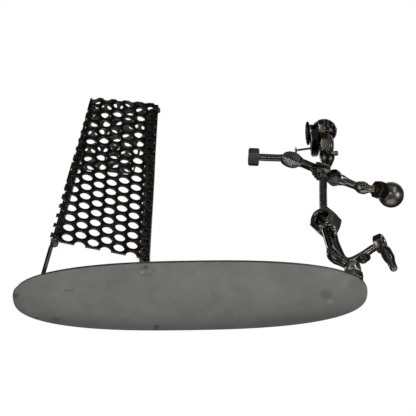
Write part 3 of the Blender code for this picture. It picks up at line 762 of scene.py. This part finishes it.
# Thin runs of weld laid over the dome, and a row of beads along its front rim whose lighter steel is a
# painted highlight on the rim.
cap_runs, run_reach, run_height = [], 10.7, 9.5
for turn, low, high in ((0.30, -0.52, -0.30), (0.62, -0.45, -0.15), (0.45, 0.10, 0.22), (-0.75, -0.05, 0.12)):
    for k in range(5):
        lift = low + (high - low) * k / 4
        bow = turn + 0.10 * math.sin(math.pi * k / 4)
        cap_runs.append((cap_middle[0] + run_reach * math.sin(bow) * math.cos(lift),
                         cap_middle[1] - run_reach * math.cos(bow) * math.cos(lift),
                         cap_middle[2] + run_height * math.sin(lift), 0.55))
# The row along the dome's front rim: real beads, their lighter steel a painted highlight of the rim.
for k in range(7):
    cap_runs.append((109.4 + 1.2 * k, -18.2 + 0.35 * abs(k - 3), 176.2, 0.7))
cap_run_steel = weathered_steel("cap_run_steel", **bright_steel)
finish_as(weld("cap_runs", cap_runs, 24, 0.25, 0.1), "gunmetal", cap_run_steel)

# --- Left arm, stretched forward -----------------------------------------------------------------------
# A rod forearm with a nut for a fist, an elbow beaten flat out of hot weld, and a length of threaded stud
# that runs rusty brown from the elbow into the shoulder nut.
reach = Vector((0.99, 0, -0.10)).normalized()
left_hand = hex_nut("left_hand", 13.0, 8.8, (51.4, -13.0, 149.1), (-0.99, 0, 0.10), (0, -1, 0), 6.8, False)
left_hand_steel = weathered_steel(
    "left_hand_steel", (0.20, 0.195, 0.185), (0.40, 0.39, 0.365), (0.34, 0.46), tinted=0.2, mottle=60.0,
    bump=0.000004)
finish_as(left_hand, "gunmetal", left_hand_steel, "left_hand_nut")
wrist = Vector((51.8, -13.0, 149.1)) + reach * 4.2
stations = [
    (*wrist, 5.2), (*(wrist + reach * 0.5), 6.1), (*(wrist + reach * 3.0), 6.1), (72.0, -13.0, 147.2, 6.0),
    (74.5, -13.0, 147.0, 6.6), (75.4, -13.0, 146.6, 9.2), (77.4, -13.0, 146.1, 11.8),
    (80.4, -13.0, 145.2, 13.4), (83.6, -13.0, 143.9, 13.6), (86.4, -13.0, 142.6, 12.0),
    (88.4, -13.0, 141.5, 9.0), (89.6, -13.0, 140.7, 7.8), (90.4, -13.0, 140.1, 7.4)]
for k in range(14):
    t = k / 13
    stations.append((91.2 + 8.4 * t, -13.05 - 0.4 * t, 139.6 - 6.7 * t, 7.4 if k % 2 else 7.0))
left_arm = bar("left_arm_rod", stations, 0.6, 16)
# The elbow's middle line drops and sags along the arm. Its struck side is a flat face with a slope above,
# and its far side is flattened too.
struck, across = Vector((0, -0.652, -0.758)), Vector((0, 0.758, -0.652))
elbow_from, elbow_to, elbow_drop, elbow_sag, far_side = 75.0, 89.5, 0.22, 0.0138, -4.6
flat_face, flat_lean, slope_edge, slope_lean, slope_fall = -97.0, 0.08, -2.0, 0.2, 0.5
for vertex in left_arm.data.vertices:
    x = vertex.co.x / mm
    if elbow_from < x < elbow_to:
        run = x - 75.4
        middle = Vector((x, -13.0, 146.7 - elbow_drop * run - elbow_sag * run ** 2))
        off = vertex.co / mm - middle
        near, down = off @ struck, off @ across
        face = flat_face + flat_lean * (x - 82.0) - middle @ struck
        above = max(0.0, slope_edge + slope_lean * (x - elbow_from) - down)
        near = min(near, face - slope_fall * above)
        vertex.co = (middle + struck * max(near, far_side) + across * down) * mm
smooth(left_arm, 40)
# The light grey spot under the front of the elbow is painted light; the dark brown spot at the shoulder end
# is rust.
left_arm_steel = weathered_steel(
    "left_arm_steel", (0.16, 0.156, 0.148), (0.30, 0.29, 0.27), (0.18, 0.26), tint=(0.22, 0.165, 0.11),
    tinted=0.3, mottle=70.0, bump=0.000001, lacquer=0.3, tint_spots=[(62, -13, 144, 9, 0.5)],
    stains_and_painted_light=[(96.5, -15, 136, 8.5, (0.10, 0.07, 0.04), 0.9), (83, -17, 139, 8, (0.34, 0.335, 0.32), 0.7)])
finish_as(left_arm, "gunmetal", left_arm_steel, "left_arm")

# --- Right arm, drawn back with the ball ---------------------------------------------------------------
# A flare of weld leaves the shoulder, a lumpy elbow joins two short rods, and a nut for a fist grips a
# steel bearing ball.
fist, ball_way = Vector((150.7, -9.0, 108.7)), Vector((0.72, 0.62, 0.31)).normalized()
ball_radius, ball_reach = 10.5, 14.2
right_hand = hex_nut("right_hand", 13.0, 8.0, fist, ball_way, (0, -0.4, -0.9))
right_hand_steel = weathered_steel(
    "right_hand_steel", (0.05, 0.05, 0.05), (0.20, 0.195, 0.185), (0.12, 0.28), tint=(0.24, 0.14, 0.06),
    tinted=0.3, mottle=120.0, bump=0.000008, lacquer=0.4, tint_spots=[(148, -12, 107, 4.5, 0.9)])
finish_as(right_hand, "gunmetal", right_hand_steel, "right_hand_nut")
right_arm = bar(
    "right_arm_rod",
    [
        (119.6, -9.8, 121.6, 9.6), (121.0, -9.7, 121.4, 9.4), (123.4, -9.5, 120.3, 8.0),
        (126.2, -9.2, 118.6, 6.8), (132.0, -9.0, 114.8, 6.4), (133.6, -9.0, 113.8, 8.0),
        (135.4, -9.0, 112.9, 10.0), (137.6, -9.0, 112.0, 10.5), (139.8, -9.1, 111.1, 9.6),
        (141.6, -9.3, 110.3, 7.4), (143.4, -9.8, 109.4, 6.1), (147.2, -10.6, 108.1, 6.1)], 0.7)
right_arm_steel = weathered_steel(
    "right_arm_steel", (0.26, 0.25, 0.235), (0.46, 0.44, 0.41), (0.14, 0.28), tint=(0.34, 0.27, 0.19),
    tinted=0.4, mottle=60.0, bump=0.000004, lacquer=0.3, tint_spots=[(145, -10, 109, 5, 0.9)],
    stains_and_painted_light=[(128, -12, 116, 7, (0.20, 0.18, 0.16), 0.7)])
finish_as(right_arm, "gunmetal", right_arm_steel, "right_arm")

pick()
bpy.ops.mesh.primitive_uv_sphere_add(segments=64, ring_count=40, radius=ball_radius * mm)
held = bpy.context.object
held.data.transform(Matrix.Translation((fist + ball_way * ball_reach) * mm))
dent(held, 9, 0.12)
apply_all(held)
bpy.ops.object.shade_smooth()
settle(held, "throwing_ball")
ball_steel = weathered_steel(
    "ball_steel", (0.16, 0.155, 0.14), (0.40, 0.38, 0.34), (0.26, 0.42), tint=(0.26, 0.21, 0.14),
    tinted=0.4, mottle=60.0, grain=(1, 0.3, 1), bump=0.000008, lacquer=0.4)
finish_as(held, "ball_steel", ball_steel, "ball")
arm_welds = weld(
    "arm_welds",
    [
        (136.0, -13.0, 111.4, 2.0), (139.0, -12.6, 109.4, 1.9), (134.4, -12.0, 114.4, 1.6),
        (138.4, -10.6, 115.0, 2.2), (135.6, -5.6, 113.4, 2.4), (140.4, -6.4, 112.0, 2.0),
        (154.6, -6.6, 111.8, 2.2), (156.0, -8.6, 109.0, 1.6), (152.2, -3.6, 111.2, 1.8),
        (97.2, -15.6, 129.0, 1.3)], 31, 0.4, 0.25)
finish_as(arm_welds, "gunmetal", bead_steel)

# --- Legs ----------------------------------------------------------------------------------------------
# Bent 6 mm rod with weld lumps for knees and ankles. The standing leg ends in a domed cap nut welded to the
# plate, and the leg that trails behind ends in a nut with a tapered pin for a toe.
standing_leg = bar(
    "standing_leg_rod",
    [
        (103.7, -13.0, 57.2, 6.0), (105.5, -13.0, 42.8, 6.1), (106.3, -13.0, 36.6, 6.3),
        (106.8, -13.0, 33.0, 8.2), (107.6, -13.0, 28.9, 9.3), (109.8, -13.0, 25.0, 8.7),
        (113.0, -12.8, 21.9, 7.0), (116.0, -12.2, 19.7, 6.2), (118.4, -11.6, 18.3, 6.0)], 0.8)
# The two dark spots on the front left side of the standing leg are painted shade.
leg_steel = weathered_steel("leg_steel", **black_steel, tint_spots=[(106, -16, 38, 7, 0.5)],
                            stains_and_painted_light=[(102.6, -15.0, 52.0, 9.0, (0.06, 0.055, 0.045), 0.9),
                                   (102.8, -15.0, 42.0, 7.0, (0.06, 0.055, 0.045), 0.9)])
finish_as(standing_leg, "gunmetal", leg_steel, "standing_leg")
bent_leg = bar(
    "bent_leg_rod",
    [
        (110.3, -7.4, 62.6, 6.0), (111.2, -7.4, 48.6, 6.1), (112.6, -7.4, 41.3, 6.1),
        (114.4, -7.4, 33.8, 6.1), (115.8, -7.4, 29.9, 6.5), (118.2, -7.4, 27.6, 6.7),
        (121.5, -7.4, 28.3, 6.3), (127.8, -7.6, 32.2, 6.0), (139.6, -8.0, 41.9, 6.0)], 0.8)
finish_as(bent_leg, "gunmetal", leg_steel, "bent_leg")

foot, foot_low, foot_high = (121.4, -10.8), 2.3, 6.8
foot_nut = hex_nut("standing_foot", 13.0, foot_high, (*foot, foot_low + foot_high / 2), (0, 0, 1), (1, 0, 0))
dome_radius, dome_middle, skirt_radius, skirt_low = 6.5, 16.6, 6.15, 8.4
pick()
bpy.ops.mesh.primitive_uv_sphere_add(segments=48, ring_count=24, radius=dome_radius * mm,
                                     location=(foot[0] * mm, foot[1] * mm, dome_middle * mm))
dome = bpy.context.object
bpy.ops.object.transform_apply(location=True)
# Below its middle the dome is drawn down into the nut and pinched in at the sides.
for vertex in dome.data.vertices:
    if vertex.co.z < dome_middle * mm:
        rise = (vertex.co.z / mm - (dome_middle - skirt_radius)) / skirt_radius
        vertex.co.z = (skirt_low + rise * (dome_middle - skirt_low)) * mm
        out = math.hypot(vertex.co.x - foot[0] * mm, vertex.co.y - foot[1] * mm)
        pinch = min(1.0, skirt_radius * mm / max(out, 0.0001))
        vertex.co.x = foot[0] * mm + (vertex.co.x - foot[0] * mm) * pinch
dent(dome, 4.2, 1.5, 0.45)
apply_all(dome)
bpy.ops.object.shade_smooth()
pick(foot_nut, dome)
bpy.ops.object.join()
# The near-black spot low on the right front of the foot nut is painted shade.
foot_steel = weathered_steel(
    "foot_steel", (0.40, 0.375, 0.34), (0.76, 0.72, 0.66), (0.24, 0.38), tint=(0.40, 0.32, 0.25),
    tinted=0.5, mottle=130.0, bump=0.00001, lacquer=0.3,
    stains_and_painted_light=[(126.5, -13.0, 4.0, 6.0, (0.04, 0.038, 0.034), 0.9)])
finish_as(foot_nut, "gunmetal", foot_steel, "standing_foot")

bent_foot = hex_nut("bent_foot", 13.0, 7.2, (144.9, -8.6, 45.8), (0.87, -0.49, -0.05), low_front, 6.8, False)
# The light tan spot on the bent foot nut's lower front flat is painted light.
bent_foot_steel = weathered_steel(
    "bent_foot_steel", **black_steel, stains_and_painted_light=[(142.5, -13.5, 41.5, 6.5, (0.42, 0.35, 0.27), 0.95)])
finish_as(bent_foot, "gunmetal", bent_foot_steel, "bent_foot_nut")
toe = bar("toe_pin_rod", [(147.7, -9.0, 38.8, 7.6), (148.2, -9.0, 36.4, 8.8), (148.9, -9.0, 33.0, 9.1),
                          (149.9, -9.0, 29.2, 8.7), (150.5, -9.0, 26.6, 7.6), (150.9, -9.0, 24.6, 6.6),
                          (151.6, -9.0, 20.8, 6.1), (152.1, -9.0, 18.0, 5.9), (152.3, -9.0, 16.9, 5.3),
                          (152.4, -9.0, 16.2, 4.0)], 0.6)
# The light spot on the toe pin's tip is a painted highlight.
toe_steel = weathered_steel("toe_steel", **black_steel, stains_and_painted_light=[(152, -11, 17, 2.4, (0.30, 0.29, 0.27), 0.5)])
finish_as(toe, "gunmetal", toe_steel, "toe_pin")
leg_welds = weld(
    "leg_welds",
    [
        (104.4, -15.4, 32.6, 1.8), (105.0, -16.0, 29.6, 1.9), (108.2, -16.4, 26.2, 1.6),
        (130.0, -10.4, 27.6, 3.9), (132.4, -9.6, 29.6, 3.5), (131.2, -10.2, 28.4, 3.9),
        (112.4, -12.0, 27.0, 2.2), (114.0, -14.2, 24.4, 1.8), (118.6, -10.6, 20.2, 1.9),
        (120.6, -8.6, 22.4, 1.8), (146.2, -9.8, 40.4, 1.8), (148.6, -8.6, 40.2, 1.7),
        (140.8, -9.6, 42.4, 1.5)], 41, 0.4, 0.25)
finish_as(leg_welds, "gunmetal", bead_steel)
# The nut's bead runs halfway round, on the side of the goal.
ring, bead_count, ring_radius = [], 7, 6.6
for k in range(bead_count):
    turn = math.pi * (0.45 + k / bead_count)
    ring.append((foot[0] + ring_radius * math.cos(turn), foot[1] + ring_radius * math.sin(turn), 2.9, 1.1))
finish_as(weld("standing_foot_weld", ring, 42), "gunmetal", bead_steel)

# --- Studio --------------------------------------------------------------------------------------------
# A pale floor that shows only from above, a white backdrop, soft lights, and a camera low in front that
# looks up at the underside of the plate.
pick()
bpy.ops.mesh.primitive_plane_add(size=30, location=(0, 0, -0.0006))
floor = bpy.context.object
floor.name = "floor"
pale = bpy.data.materials.new("pale_floor")
pale.use_nodes = True
tree = pale.node_tree
paint = tree.nodes["Principled BSDF"]
paint.inputs["Base Color"].default_value = (0.82, 0.82, 0.82, 1)
paint.inputs["Roughness"].default_value = 0.8
see_through = tree.nodes.new("ShaderNodeBsdfTransparent")
side = tree.nodes.new("ShaderNodeNewGeometry")
either = tree.nodes.new("ShaderNodeMixShader")
tree.links.new(side.outputs["Backfacing"], either.inputs["Fac"])
tree.links.new(paint.outputs[0], either.inputs[1])
tree.links.new(see_through.outputs[0], either.inputs[2])
tree.links.new(either.outputs[0], tree.nodes["Material Output"].inputs["Surface"])
floor.data.materials.append(pale)
floor.visible_diffuse = floor.visible_glossy = floor.visible_transmission = floor.visible_shadow = False
floor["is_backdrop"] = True

sky = bpy.data.worlds.new("backdrop")
bpy.context.scene.world = sky
sky.use_nodes = True
tree = sky.node_tree
dim = tree.nodes["Background"]
dim.inputs["Color"].default_value = (0.9, 0.95, 1.0, 1)
dim.inputs["Strength"].default_value = 0.03
white = tree.nodes.new("ShaderNodeBackground")
white.inputs["Color"].default_value = (1, 1, 1, 1)
white.inputs["Strength"].default_value = 1.0
seen = tree.nodes.new("ShaderNodeLightPath")
either = tree.nodes.new("ShaderNodeMixShader")
tree.links.new(seen.outputs["Is Camera Ray"], either.inputs["Fac"])
tree.links.new(dim.outputs[0], either.inputs[1])
tree.links.new(white.outputs[0], either.inputs[2])
tree.links.new(either.outputs[0], tree.nodes["World Output"].inputs["Surface"])

aim = Vector((0.02, -0.005, 0.08))


def soft_light(name, way, distance, size, power):
    """An area light that looks at the figurine from this way."""
    lamp = bpy.data.lights.new(name, "AREA")
    lamp.shape, lamp.size, lamp.size_y = "RECTANGLE", size[0], size[1]
    lamp.energy = power
    thing = bpy.data.objects.new(name, lamp)
    bpy.context.collection.objects.link(thing)
    thing.location = aim + Vector(way).normalized() * distance
    thing.rotation_mode = "QUATERNION"
    thing.rotation_quaternion = (aim - thing.location).to_track_quat("-Z", "Y")
    thing.visible_camera = False


soft_light("key", (-0.25, -0.95, 0.45), 1.0, (1.2, 0.8), 0.5)
soft_light("low_front", (0.13, -0.635, -0.65), 0.93, (0.42, 0.30), 0.115)
soft_light("spark", (-0.10, -0.75, -0.58), 0.93, (0.06, 0.06), 0.25)
soft_light("left_low", (-0.62, -0.25, -0.75), 0.95, (0.30, 0.30), 0.5)
soft_light("strip", (0.55, -0.85, 0.05), 1.0, (0.10, 0.9), 0.9)
soft_light("left_front", (-0.70, -0.65, -0.29), 1.0, (0.6, 0.6), 0.65)
soft_light("rim_left", (-0.68, 0.26, 0.67), 1.0, (0.3, 0.3), 1.6)
soft_light("edge", (0.86, -0.33, -0.39), 1.0, (0.35, 0.35), 1.5)
soft_light("right_side", (0.97, 0.19, 0.15), 1.0, (0.5, 0.5), 0.08)
soft_light("under", (0.05, 0.45, -0.89), 1.0, (1.3, 1.1), 2.45)
soft_light("overhead", (0.2, 0.45, 1.0), 1.0, (1.2, 1.2), 2.5)

bpy.ops.object.camera_add()
camera = bpy.context.object
forward = Vector((-0.0147, 0.6518, 0.7583)).normalized()
right = Vector((0.99974, 0.02295, -0.00036)).normalized()
above = right.cross(forward)
turn = Matrix((right, above, -forward)).transposed().to_4x4()
camera.matrix_world = Matrix.Translation((0.0287, -0.6742, -0.6834)) @ turn
camera.data.sensor_width, camera.data.lens = 36, 111.9
camera.data.clip_start = 0.05
bpy.context.scene.camera = camera
bpy.context.scene.view_settings.view_transform = "Standard"

low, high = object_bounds()
